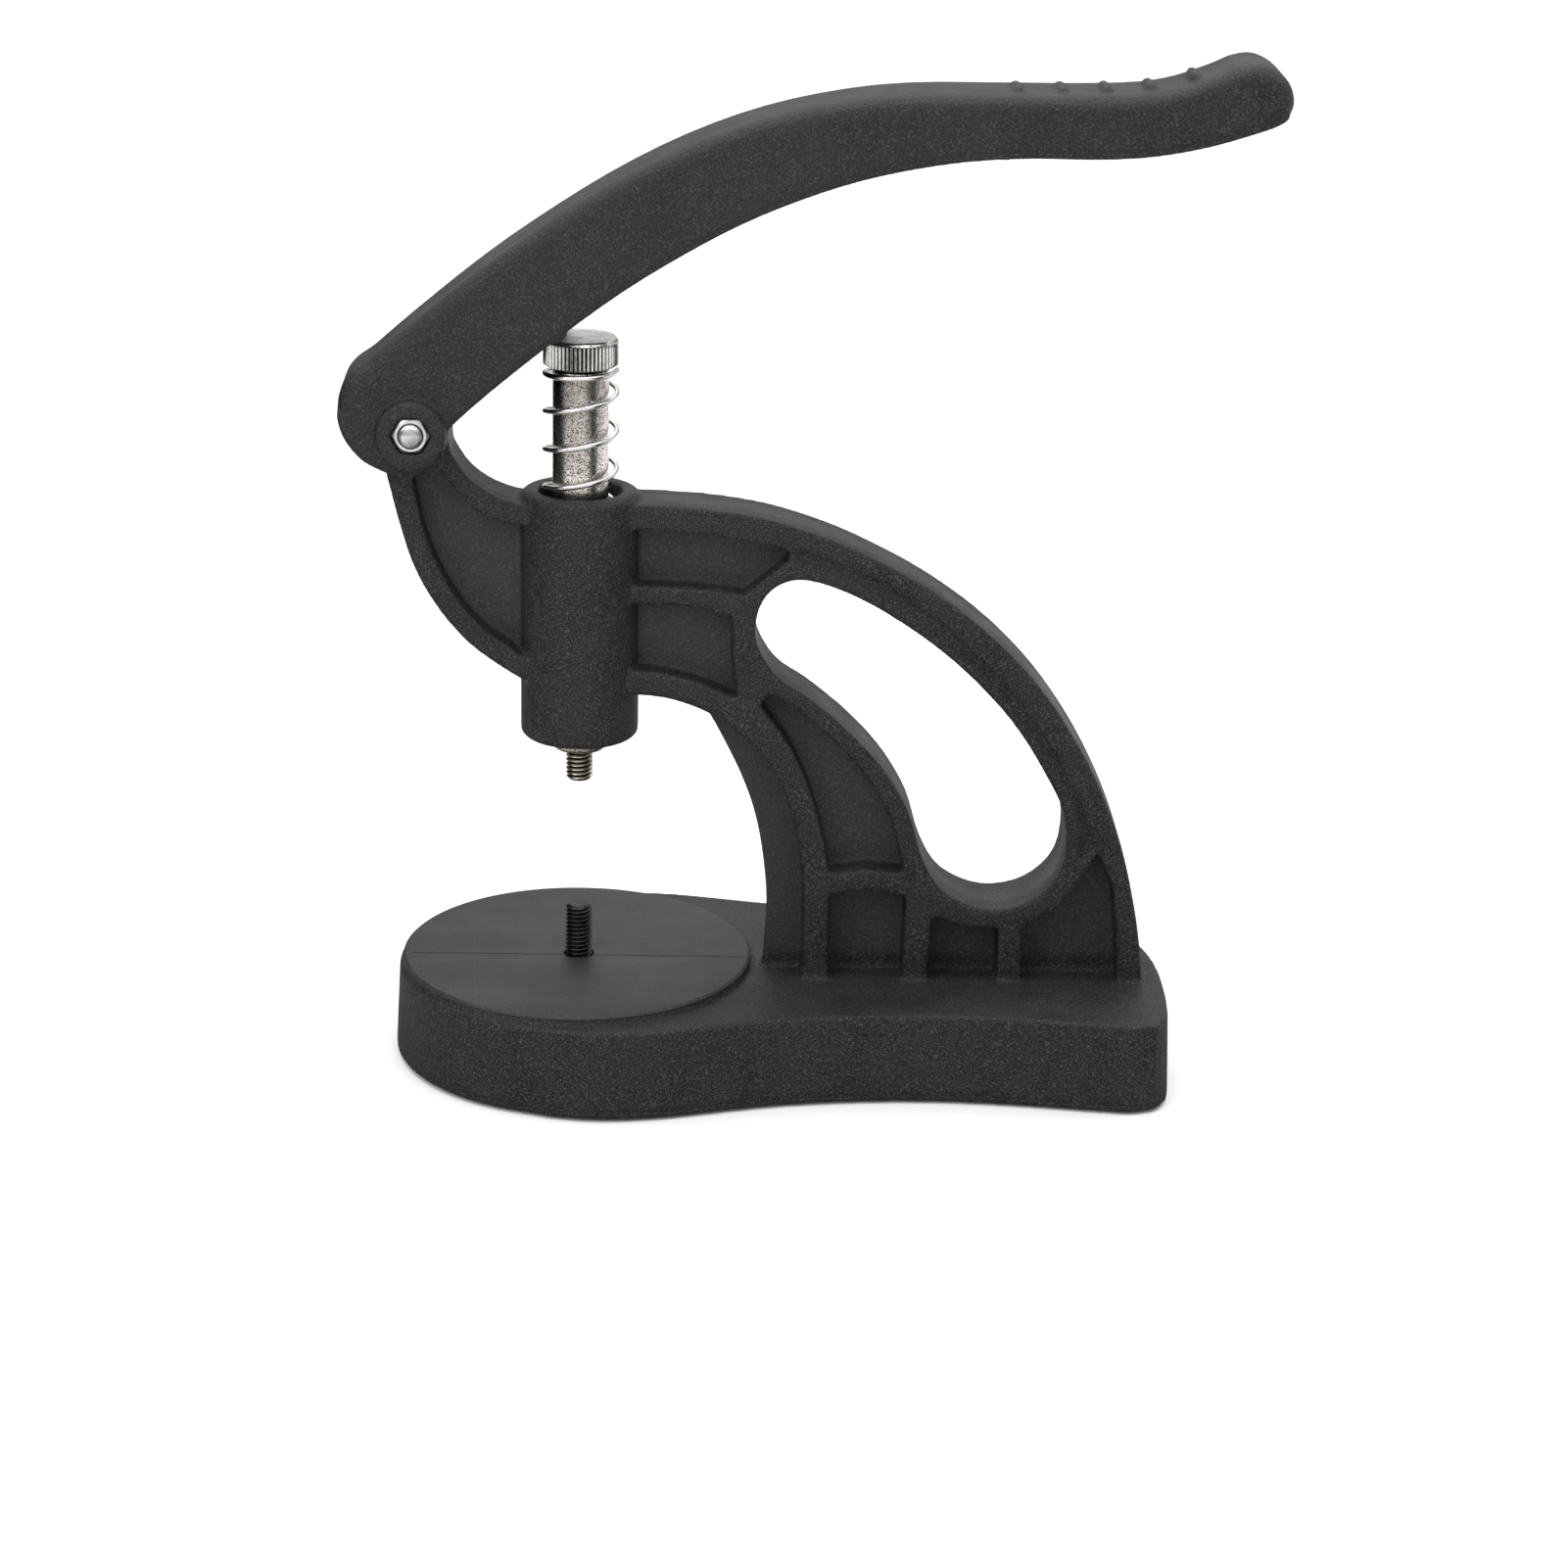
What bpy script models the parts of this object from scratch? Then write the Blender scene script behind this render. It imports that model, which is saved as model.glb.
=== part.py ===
"""A hand-lever watch case press: moulded frame, lever, sprung ram and their fasteners."""

import bmesh
import bpy
from math import cos, pi, radians, sin, sqrt
from mathutils import Matrix, Vector

MM = 0.001
GAP = 0.3  # clearance between two pieces that touch

# Driving dimensions, in millimetres. The ram's axis is X = 0, and the press is symmetric about Y = 0.
LEFT_END, RIGHT_END = -51.6, 148.0  # ends of the lever, which are the ends of the press
PIVOT = Vector((-35.8, 0, 145.9))

FOOT_LIFT = 0.8  # the rubber feet hold the base this far off the bench
BASE_TOP = 20.8
BASE_DRAFT = 0.9
BASE_WALL = 3.0
BASE_LOBE_R, LOBE_Y = 41.4, 1.2
DISC_TOP = 22.7
DISC_X, DISC_Y = -0.5, 1.8  # the disc isn't quite concentric with its stud
DISC_R, DISC_FACE_R = 39.2, 38.5
DISC_CHAMFER = 0.5

GUIDE_R = 13.0
GUIDE_BOTTOM, GUIDE_TOP = 75.5, 131.4
SEAT_R, SEAT_FLOOR = 8.95, 124.8  # counterbore that the spring stands in

RIB_HALF_TOP, RIB_HALF_FOOT = 7.0, 9.2  # half of the frame's thickness at the guide's top and at the base
STEP_HALF = 6.1  # half thickness of the band above the window, at the guide's top
WEB_HALF = 2.2
EYE_R, EYE_HALF = 7.9, 8.4

ROD_R = 6.1
ROD_BOTTOM, ROD_SHOULDER = 72.2, 158.5
SPIGOT_R, SPIGOT_TOP = 4.0, 162.7
KNOB_R, KNOB_BOTTOM, KNOB_TOP = 8.15, 158.8, 165.1
M6_R = 3.0
RAM_STUD_TIP, RAM_STUD_TOP = 64.8, 83.0
BASE_STUD_TIP = 34.8

WIRE_R, COIL_R = 0.6, 7.8
COIL_TURNS = 4.85
LOW_CLOSED, HIGH_CLOSED = 0.75, 0.5  # turns that lie flat at each end

LEVER_HALF, CHANNEL_HALF = 10.75, 8.8
LEVER_ROOF = 3.0
BOSS_R, BOSS_FACE = 7.5, 13.8
NOSE_R = 3.0
NOSE = Vector((-5.6, 0, KNOB_TOP + GAP + NOSE_R))

M5_R = 2.5
M5_FLATS, M5_NUT_T, M5_HEAD_T = 7.2, 4.0, 3.5
NUT_SUNK = 0.6  # from the boss's face to the nut
M6_FLATS, M6_HEAD_T = 10.0, 4.0

FOOT_R, FOOT_TOP = 6.0, 3.0
FOOT_SPOTS = {
    "front_left": (-21, 25),
    "front_right": (-21, -25),
    "rear_left": (118, 23),
    "rear_right": (118, -23),
}


# Helpers


def clear_scene():
    for obj in list(bpy.data.objects):
        bpy.data.objects.remove(obj, do_unlink=True)


def collection(name):
    made = bpy.data.collections.new(name)
    bpy.context.scene.collection.children.link(made)
    return made


def material(name, color, roughness, metallic=0.0):
    made = bpy.data.materials.new(name)
    made.use_nodes = True
    shader = made.node_tree.nodes["Principled BSDF"]
    shader.inputs["Base Color"].default_value = (*color, 1)
    shader.inputs["Roughness"].default_value = roughness
    shader.inputs["Metallic"].default_value = metallic
    return made


def smooth(points, steps=4, closed=False):
    """A Catmull-Rom curve through the points, as a list of points."""
    count = len(points)
    out = []
    for i in range(count if closed else count - 1):
        if closed:
            a, b, c, d = (Vector(points[(i + k) % count]) for k in (-1, 0, 1, 2))
        else:
            a, b, c, d = (Vector(points[min(max(i + k, 0), count - 1)]) for k in (-1, 0, 1, 2))
        for s in range(steps):
            t = s / steps
            square = (2 * a - 5 * b + 4 * c - d) * t**2
            cube = (3 * b - a - 3 * c + d) * t**3
            out.append((2 * b + (c - a) * t + square + cube) / 2)
    return out if closed else [*out, Vector(points[-1])]


def arc(center, radius, start, end, steps):
    """Points on an arc, with its angles in degrees anticlockwise from +X."""
    angles = [radians(start + (end - start) * i / steps) for i in range(steps + 1)]
    return [Vector((center[0] + radius * cos(a), center[1] + radius * sin(a))) for a in angles]


def grown(outline, distance):
    """The closed outline moved outward, or inward where distance is negative."""
    count = len(outline)
    points = [Vector(p) for p in outline]
    area = sum(points[i - 1].cross(points[i]) for i in range(count))
    side = 1 if area > 0 else -1
    out = []
    for i in range(count):
        before = (points[i] - points[i - 1]).normalized()
        after = (points[(i + 1) % count] - points[i]).normalized()
        along = (before + after).normalized()
        normal = Vector((along.y, -along.x)) * side
        stretch = max(sqrt((1 + before.dot(after)) / 2), 0.5)
        out.append(points[i] + normal * distance / stretch)
    return out


def mesh_object(name, mesh, group):
    obj = bpy.data.objects.new(name, mesh)
    group.objects.link(obj)
    return obj


def baked(obj):
    """Replaces the object's mesh with what its modifiers make of it."""
    graph = bpy.context.evaluated_depsgraph_get()
    mesh = bpy.data.meshes.new_from_object(obj.evaluated_get(graph), depsgraph=graph)
    obj.modifiers.clear()
    obj.data = mesh
    return obj


def prism(name, outlines, low, high, group, upright=True):
    """Closed outlines extruded from low to high. Upright ones lie in XZ and run along Y; others lie in XY."""
    curve = bpy.data.curves.new(name, "CURVE")
    curve.dimensions = "2D"
    curve.fill_mode = "BOTH"
    curve.extrude = (high - low) / 2 * MM
    for outline in outlines:
        spline = curve.splines.new("POLY")
        spline.points.add(len(outline) - 1)
        for point, place in zip(spline.points, outline):
            point.co = (place[0] * MM, place[1] * MM, 0, 1)
        spline.use_cyclic_u = True
    helper = bpy.data.objects.new(name, curve)
    group.objects.link(helper)
    graph = bpy.context.evaluated_depsgraph_get()
    mesh = bpy.data.meshes.new_from_object(helper.evaluated_get(graph), depsgraph=graph)
    bpy.data.objects.remove(helper)
    middle = (low + high) / 2 * MM
    if upright:
        mesh.transform(Matrix.Translation((0, middle, 0)) @ Matrix.Rotation(pi / 2, 4, "X"))
    else:
        mesh.transform(Matrix.Translation((0, 0, middle)))
    tidy(mesh)
    return mesh_object(name, mesh, group)


def tidy(mesh):
    shape = bmesh.new()
    shape.from_mesh(mesh)
    bmesh.ops.remove_doubles(shape, verts=shape.verts, dist=1e-6)
    bmesh.ops.recalc_face_normals(shape, faces=shape.faces)
    shape.to_mesh(mesh)
    shape.free()


def rod(name, radius, low, high, group, axis="Z", center=(0, 0), sides=48, chamfer=0.0, turn=0.0):
    """A cylinder, or a prism with few sides, along Z or Y. center is its (X, Y) or (X, Z)."""
    shape = bmesh.new()
    length = (high - low) * MM
    bmesh.ops.create_cone(
        shape, cap_ends=True, segments=sides, radius1=radius * MM, radius2=radius * MM, depth=length,
        matrix=Matrix.Rotation(turn, 4, "Z"),
    )
    if chamfer:
        rims = [e for e in shape.edges if abs(e.verts[0].co.z - e.verts[1].co.z) < 1e-6]
        bmesh.ops.bevel(shape, geom=rims, offset=chamfer * MM, segments=1, affect="EDGES")
    middle = (low + high) / 2 * MM
    if axis == "Y":
        place = Matrix.Translation((center[0] * MM, middle, center[1] * MM)) @ Matrix.Rotation(pi / 2, 4, "X")
    else:
        place = Matrix.Translation((center[0] * MM, center[1] * MM, middle))
    bmesh.ops.transform(shape, matrix=place, verts=shape.verts)
    mesh = bpy.data.meshes.new(name)
    shape.to_mesh(mesh)
    shape.free()
    return mesh_object(name, mesh, group)


def turned(name, profile, group, steps=48):
    """A solid of revolution about Z from an (R, Z) profile that runs down its outer side."""
    shape = bmesh.new()
    verts = [shape.verts.new((r * MM, 0, z * MM)) for r, z in profile]
    for a, b in zip(verts, verts[1:]):
        shape.edges.new((a, b))
    mesh = bpy.data.meshes.new(name)
    shape.to_mesh(mesh)
    shape.free()
    obj = mesh_object(name, mesh, group)
    screw = obj.modifiers.new("turn", "SCREW")
    screw.steps = screw.render_steps = steps
    screw.use_merge_vertices = True
    screw.merge_threshold = 0.00001
    baked(obj)
    tidy(obj.data)
    return obj


def combine(target, tool, operation, solver="EXACT"):
    change = target.modifiers.new(operation.lower(), "BOOLEAN")
    change.operation = operation
    change.solver = solver
    change.object = tool
    baked(target)
    bpy.data.objects.remove(tool)
    return target


def hex_radius(flats):
    return flats / sqrt(3)


def finish(obj, surface, origin=Vector((0, 0, 0))):
    """Gives the object its material, and moves its origin to the given point in millimetres."""
    obj.data.materials.clear()
    obj.data.materials.append(surface)
    obj.data.transform(Matrix.Translation(-origin * MM))
    obj.location = origin * MM


# Outlines of the frame, in X and Z, or in X and Y for the base


def curved(*runs):
    """An outline of smooth runs, which meet in corners. A run of one point is a corner by itself."""
    return [point for run in runs for point in smooth(run, 3)]


def frame_outline():
    arch = [(127.2, 10), (126, 27.8), (123.4, 42.2), (119.7, 55.7), (113.9, 69.3), (106.4, 82.3), (98, 93.3),
            (87.9, 103.1), (77.2, 111), (66.1, 117.3), (53.9, 122.8), (40.3, 127), (26.2, 129.1),
            (12.4, 129.7)]
    arm_top = [(-11.5, 129.3), (-15.6, 130.2), (-19.9, 132.1), (-24.4, 135.6), (-27.8, 141)]
    eye = arc((PIVOT.x, PIVOT.z), EYE_R, 12, 170, 8)
    arm_left = [(-42.5, 139.2), (-40.6, 131.6), (-38.6, 123.8), (-35.9, 115.4), (-31.5, 107.1), (-25, 99.1),
                (-18.7, 94), (-11.5, 89.4)]
    throat = [(12.2, 86.8), (20.2, 85.9), (29.3, 82.4), (37.4, 76.6), (43.5, 68.6), (47.6, 58), (49.8, 46.6),
              (50.3, 32.3), (50.1, 10)]
    return smooth(arch) + smooth(arm_top) + eye + smooth(arm_left) + smooth(throat)


def window_outline():
    rim = [(38.5, 100.6), (42.9, 91.9), (50.4, 86.6), (58.9, 79.5), (67, 70.7), (73, 60.7), (76.5, 49.8),
           (81.5, 41.9), (90.8, 37.9), (100.5, 39.8), (107.2, 47.1), (107.8, 59.1), (102.6, 70.4),
           (94.7, 82.3), (83.3, 94.2), (70.6, 103.8), (57.6, 110.8), (47.1, 113.3), (40.4, 109.2)]
    return smooth(rim, closed=True)


def step_outline():
    """The band between the arch's outer rib and the window, which is a little lower than the rib."""
    outer = [(44.5, 120.8), (56, 117.4), (68, 111.9), (78.1, 104.8), (87.3, 96.6), (96, 87.2), (103.9, 76.3),
             (110.4, 64.5), (114.8, 53.1)]
    inner = [(111.4, 48.7), (110, 61.8), (100.9, 77.3), (90.4, 90.1), (78.1, 101.4), (64, 110.3), (50, 115.6)]
    return curved(outer, inner)


def pockets():
    """The recessed panels between the ribs, cut from both sides as far as the web."""
    arm = curved(
        [(-35.9, 134.7), (-33.7, 123.9), (-30.4, 115.2), (-26.1, 107.9), (-20.2, 101.1), (-8.8, 93.2)],
        [(-8.4, 124.5), (-17.3, 125.5), (-22.7, 128.3), (-28, 133.9), (-30.9, 137.7)],
    )
    upper = curved(
        [(9.4, 124.2), (22.3, 123.7), (34.1, 122.2), (45.6, 120.1)],
        [(45.3, 117.7)],
        [(35.8, 109.9), (24.2, 111.3), (9.3, 111.6)],
    )
    middle = curved(
        [(9.3, 107.5), (23.2, 107), (33.2, 105.3)],
        [(33.6, 94.8), (34.9, 86.2)],
        [(27.3, 89.5), (19.2, 91.7), (9.2, 92.6)],
    )
    column = curved(
        [(39.7, 84.7), (46.2, 75.9), (51, 65.4), (54.4, 54.2), (55.7, 45.7)],
        [(64.1, 47)],
        [(72.6, 46.1)],
        [(69.5, 58.1), (64.3, 67.4), (57.1, 75.7), (47.8, 84), (41.8, 87.4)],
    )
    foot_left = curved([(56, 40.9), (64.1, 42), (73.2, 40.6)], [(72.9, 32.3), (72.7, 15.6)], [(56.3, 15.6)])
    foot_middle = curved([(79, 36), (86.4, 33.6), (94, 33.4)], [(94.1, 15.6)], [(78.3, 15.6)])
    foot_right = curved(
        [(99.5, 34)],
        [(106.7, 38.2), (112.4, 46), (115.3, 52)],
        [(119.1, 43.3), (120.3, 32.3), (121.4, 15.6)],
        [(99.1, 15.6)],
    )
    return [arm, upper, middle, column, foot_left, foot_middle, foot_right]


def fin_outline():
    """The web runs past the throat's rib as a thin fin."""
    edge = [(22.2, 87.3), (26.9, 83.5), (31.6, 75.5), (36.2, 66), (39.3, 57), (41.2, 47.2), (42.2, 36.7),
            (41.9, 27.8), (41, 10)]
    return curved(edge, [(53.2, 10)], [(52.8, 43.3)], [(46.4, 70.3)], [(34.2, 84.2)])


def base_outline():
    """The base from above, anticlockwise: round under the disc, waisted, with a rounded right end."""
    lobe = arc((0, LOBE_Y), BASE_LOBE_R, 100, 250, 32)
    front = [(-5, -41), (1, -42.1), (8, -42.5), (20.5, -40.6), (33, -36.8), (46.5, -33.2), (63, -30.8),
             (81, -30.2), (98, -31.6), (113, -33.8), (122.5, -35)]
    corner = [(128, -33.2), (131, -28.5), (132, -20), (132.3, -10), (132.1, 0), (131, 9), (128.6, 17.5),
              (124.6, 25), (119.5, 30)]
    back = [(112, 32.6), (98, 33), (81, 33.4), (63, 35.4), (50, 37.4), (42.5, 38.8), (36, 40.3), (29, 42),
            (20, 43.8), (10, 44.2), (1, 43.1)]
    return lobe + smooth(front, 2) + smooth(corner, 2) + smooth(back, 2)


# Pieces


def drafted(obj, amount, low, high):
    """Moves the upright sides inward in proportion to height, as moulded sides are."""
    shape = bmesh.new()
    shape.from_mesh(obj.data)
    rim = {v: v.normal.copy() for v in shape.verts}
    for vert, normal in rim.items():
        flat = Vector((normal.x, normal.y, 0))
        if flat.length > 0.1:
            rise = (vert.co.z / MM - low) / (high - low)
            vert.co -= flat.normalized() * amount * MM * rise
    shape.to_mesh(obj.data)
    shape.free()


def tapered(obj):
    """Scales the frame's thickness from the guide's top down to the base, so that the faces stay flat."""
    for vert in obj.data.vertices:
        share = (GUIDE_TOP - vert.co.z / MM) / (GUIDE_TOP - BASE_TOP)
        vert.co.y *= 1 + share * (RIB_HALF_FOOT / RIB_HALF_TOP - 1)


def make_base(group):
    base = prism("base", [base_outline()], FOOT_LIFT, BASE_TOP, group, upright=False)
    drafted(base, BASE_DRAFT, FOOT_LIFT, BASE_TOP)
    rounding = base.modifiers.new("rim", "BEVEL")
    rounding.width = 1.0 * MM
    rounding.segments = 2
    rounding.limit_method = "ANGLE"
    rounding.angle_limit = radians(60)
    baked(base)
    disc = turned("disc", [(0, DISC_TOP), (DISC_FACE_R, DISC_TOP), (DISC_R, DISC_TOP - DISC_CHAMFER),
            (DISC_R, 12), (0, 12)], group, steps=80)
    disc.data.transform(Matrix.Translation((DISC_X * MM, DISC_Y * MM, 0)))
    combine(base, disc, "UNION", "MANIFOLD")

    hollow = prism("hollow", [grown(base_outline(), -BASE_WALL - 1)], -5, BASE_TOP - 3.5, group,
            upright=False)
    for x in (36, 64, 92):
        cross = prism("cross_rib", [[(x - 1.2, -50), (x + 1.2, -50), (x + 1.2, 50), (x - 1.2, 50)]], -6,
                20, group, upright=False)
        combine(hollow, cross, "DIFFERENCE")
    spine = prism("spine", [[(-60, -1.2), (140, -1.2), (140, 1.2), (-60, 1.2)]], -6, 20, group,
            upright=False)
    combine(hollow, spine, "DIFFERENCE")
    combine(hollow, rod("bolt_boss", 9, -6, 20, group), "DIFFERENCE")
    for spot in FOOT_SPOTS.values():
        combine(hollow, rod("foot_boss", FOOT_R + 2.5, -6, 20, group, center=spot), "DIFFERENCE")
    combine(base, hollow, "DIFFERENCE", "MANIFOLD")
    for spot in FOOT_SPOTS.values():
        seat = rod("foot_seat", FOOT_R + GAP, -3, FOOT_TOP + GAP, group, center=spot, sides=32)
        combine(base, seat, "DIFFERENCE", "MANIFOLD")
    return base


def make_frame(group):
    body = prism("frame", [frame_outline()], -RIB_HALF_TOP, RIB_HALF_TOP, group)
    for outline in pockets():
        combine(body, prism("panel", [outline], -20, 20, group), "DIFFERENCE")
    for low, high in ((-20, -STEP_HALF), (STEP_HALF, 20)):
        combine(body, prism("step", [step_outline()], low, high, group), "DIFFERENCE")
    tapered(body)
    webs = prism("web", [grown(outline, 1.4) for outline in pockets()], -WEB_HALF, WEB_HALF, group)
    combine(body, webs, "UNION")
    combine(body, prism("fin", [fin_outline()], 0.2 - WEB_HALF, WEB_HALF - 0.2, group), "UNION", "MANIFOLD")
    combine(body, prism("window", [window_outline()], -30, 30, group), "DIFFERENCE", "MANIFOLD")
    pivot = (PIVOT.x, PIVOT.z)
    combine(body, rod("eye", EYE_R - 0.1, -EYE_HALF, EYE_HALF, group, "Y", pivot, 32), "UNION")
    guide = turned("guide", [(0, GUIDE_TOP), (GUIDE_R - 1, GUIDE_TOP), (GUIDE_R, GUIDE_TOP - 1),
            (GUIDE_R, GUIDE_BOTTOM + 1), (GUIDE_R - 1, GUIDE_BOTTOM), (0, GUIDE_BOTTOM)], group)
    combine(body, guide, "UNION")
    combine(body, make_base(group), "UNION", "MANIFOLD")

    combine(body, rod("guide_bore", ROD_R + GAP, GUIDE_BOTTOM - 5, GUIDE_TOP + 5, group, sides=40),
            "DIFFERENCE")
    combine(body, rod("spring_seat", SEAT_R, SEAT_FLOOR, GUIDE_TOP + 5, group, sides=40), "DIFFERENCE")
    combine(body, rod("pivot_hole", M5_R + GAP, -20, 20, group, "Y", pivot, 24), "DIFFERENCE")
    combine(body, rod("stud_hole", M6_R + GAP, -1, DISC_TOP + 5, group, sides=32), "DIFFERENCE",
            "MANIFOLD")
    head_top = DISC_TOP - 8 + GAP
    combine(body, rod("head_pocket", hex_radius(M6_FLATS + 2 * GAP), -3, head_top, group, sides=6),
            "DIFFERENCE", "MANIFOLD")
    return body


def lever_top():
    edge = [(-45.1, 160.7), (-36.3, 168.4), (-23.6, 178.9), (-11, 188.2), (5.7, 199), (22.3, 207.6),
            (38.7, 213.7), (55.1, 217.4), (69.9, 219), (87, 219.2), (104.6, 219.3), (117, 219.8),
            (125.1, 221.3), (132.8, 224.1)]
    return smooth(edge, 3)


def lever_bottom():
    edge = [(141.6, 212.5), (130.9, 209.2), (118.8, 206.9), (106.7, 206.2), (94.6, 206.3), (82.4, 205.6),
            (70.3, 203.8), (58.2, 201), (46.1, 196.9), (34, 191.7), (21.8, 185), (9.6, 177.3), (-2.7, 168.2),
            (-15.2, 158.1), (-23.5, 150.9), (-27.9, 146.7)]
    return smooth(edge, 3)


def lever_outline():
    tip = [(135.7, 225.5), (140, 226.3), (143.9, 224.9), (146.8, 222.2), (RIGHT_END, 218.3), (146.8, 215.2),
           (144, 213.4)]
    boss = arc((PIVOT.x, PIVOT.z), BOSS_R + 0.4, -5, -95, 6)
    heel = [(-40.2, 136.5), (-46, 139.3), (-49.8, 143.6), (-51.5, 148), (LEFT_END, 152.2), (-50.4, 156.1),
            (-48.1, 158.7)]
    return lever_top() + smooth(tip, 3) + lever_bottom() + boss + smooth(heel, 3)


def channel_outline():
    """The hollow below the lever's roof, left open at the bottom."""
    roof = [p + Vector((0.6, -LEVER_ROOF)) for p in lever_top()[1:]]
    end = [(140.1, 222.2), (144, 221.2), (146.4, 218.2), (145.6, 207.3), (139.4, 197.7)]
    below = [(107, 192.9), (68.6, 188), (10.6, 158.4), (-19.1, 136.2), (-36.1, 126), (-45.2, 134.2)]
    heel = [(-43.6, 140.9), (-47, 145), (-48.8, 149.4), (-48.5, 153.4), (-45.6, 156.8)]
    return roof + [Vector(p) for p in end + below] + smooth(heel, 2)


def round_roof(obj, radius):
    """Rounds the two edges where the lever's roof meets its cheeks."""
    floor = [(p.x, p.y) for p in lever_bottom()]

    def height_of_floor(x):
        return min(floor, key=lambda p: abs(p[0] - x))[1]

    shape = bmesh.new()
    shape.from_mesh(obj.data)
    rim = []
    for edge in shape.edges:
        a, b = (v.co / MM for v in edge.verts)
        on_cheek = abs(a.y - b.y) < 0.01 and abs(abs(a.y) - LEVER_HALF) < 0.01
        above = min(a.z, b.z) > height_of_floor((a.x + b.x) / 2) + 3 and min(a.z, b.z) > 150
        if on_cheek and above and len(edge.link_faces) == 2 and edge.calc_face_angle(0) > 1:
            rim.append(edge)
    bmesh.ops.bevel(shape, geom=rim, offset=radius * MM, segments=3, profile=0.5, affect="EDGES",
                    clamp_overlap=False)
    shape.to_mesh(obj.data)
    shape.free()


def make_lever(group):
    lever = prism("lever", [lever_outline()], -LEVER_HALF, LEVER_HALF, group)
    round_roof(lever, 3.0)
    combine(lever, prism("channel", [channel_outline()], -CHANNEL_HALF, CHANNEL_HALF, group), "DIFFERENCE")
    pivot = (PIVOT.x, PIVOT.z)
    for side in (-1, 1):
        low, high = sorted((side * CHANNEL_HALF, side * BOSS_FACE))
        combine(lever, rod("boss", BOSS_R, low, high, group, "Y", pivot, 48, chamfer=0.5), "UNION",
                "MANIFOLD")
    nose = arc((NOSE.x, NOSE.z), NOSE_R, 180, 360, 12) + [
        Vector((NOSE.x + NOSE_R, 192.1)), Vector((NOSE.x - NOSE_R, 188.2))]
    combine(lever, prism("nose", [nose], -CHANNEL_HALF - 0.9, CHANNEL_HALF + 0.9, group), "UNION",
            "MANIFOLD")
    combine(lever, rod("pivot_hole", M5_R + GAP, -20, 20, group, "Y", pivot, 24), "DIFFERENCE",
            "MANIFOLD")
    pocket = hex_radius(M5_FLATS + 2 * GAP)
    nut_floor = -BOSS_FACE + NUT_SUNK + M5_NUT_T + GAP
    head_floor = BOSS_FACE - M5_HEAD_T - GAP
    for name, low, high in (("nut_pocket", -20, nut_floor), ("head_pocket", head_floor, 20)):
        cutter = rod(name, pocket, low, high, group, "Y", pivot, 6, turn=pi / 6)
        combine(lever, cutter, "DIFFERENCE", "MANIFOLD")
    return lever


def make_ram_rod(group):
    bore = M6_R + GAP
    floor = RAM_STUD_TOP + GAP
    return turned("ram_rod", [(0, SPIGOT_TOP), (SPIGOT_R, SPIGOT_TOP), (SPIGOT_R, ROD_SHOULDER),
            (ROD_R, ROD_SHOULDER), (ROD_R, ROD_BOTTOM + 0.4), (ROD_R - 0.4, ROD_BOTTOM),
            (bore, ROD_BOTTOM), (bore, floor), (0, floor)], group, steps=40, )


def make_ram_knob(group):
    bore = SPIGOT_R + GAP
    floor = SPIGOT_TOP + GAP
    return turned(
        "ram_knob",
        [(0, KNOB_TOP), (KNOB_R - 0.7, KNOB_TOP), (KNOB_R, KNOB_TOP - 0.7), (KNOB_R, KNOB_BOTTOM + 0.3),
         (KNOB_R - 0.3, KNOB_BOTTOM), (bore, KNOB_BOTTOM), (bore, floor), (0, floor)],
        group, steps=48,
    )


def coil_height(turn):
    """Height of the wire's centre after so many turns: closed at both ends, open between."""
    low = SEAT_FLOOR + GAP + WIRE_R
    high = KNOB_BOTTOM - GAP - WIRE_R
    open_turns = COIL_TURNS - LOW_CLOSED - HIGH_CLOSED
    share = min(max((turn - LOW_CLOSED) / open_turns, 0), 1)
    closed = 2 * WIRE_R + 0.2
    ends = closed * (min(turn, LOW_CLOSED) + max(turn - COIL_TURNS + HIGH_CLOSED, 0))
    rise = high - low - (LOW_CLOSED + HIGH_CLOSED) * closed
    return low + ends + rise * share


def make_spring(group):
    curve = bpy.data.curves.new("return_spring", "CURVE")
    curve.dimensions = "3D"
    curve.bevel_depth = WIRE_R * MM
    curve.bevel_resolution = 2
    curve.use_fill_caps = True
    per_turn = 20
    count = round(COIL_TURNS * per_turn) + 1
    spline = curve.splines.new("POLY")
    spline.points.add(count - 1)
    for i, point in enumerate(spline.points):
        turn = i / per_turn
        angle = 2 * pi * (turn - COIL_TURNS)
        point.co = (COIL_R * cos(angle) * MM, COIL_R * sin(angle) * MM, coil_height(turn) * MM, 1)
    helper = mesh_object("coil", curve, group)
    graph = bpy.context.evaluated_depsgraph_get()
    mesh = bpy.data.meshes.new_from_object(helper.evaluated_get(graph), depsgraph=graph)
    bpy.data.objects.remove(helper)
    tidy(mesh)
    return mesh_object("return_spring", mesh, group)


def make_base_bolt(group):
    bolt = rod("base_bolt", M6_R, DISC_TOP - 10, BASE_STUD_TIP, group, sides=32, chamfer=0.6)
    top = DISC_TOP - 8
    head = rod("head", hex_radius(M6_FLATS), top - M6_HEAD_T, top, group, sides=6)
    return combine(bolt, head, "UNION")


def make_pivot_bolt(group):
    pivot = (PIVOT.x, PIVOT.z)
    bolt = rod("pivot_bolt", M5_R, -BOSS_FACE - 0.4, BOSS_FACE - 1, group, "Y", pivot, 24, chamfer=0.5)
    head = rod("head", hex_radius(M5_FLATS), BOSS_FACE - M5_HEAD_T, BOSS_FACE, group, "Y", pivot, 6,
            turn=pi / 6)
    return combine(bolt, head, "UNION")


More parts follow.
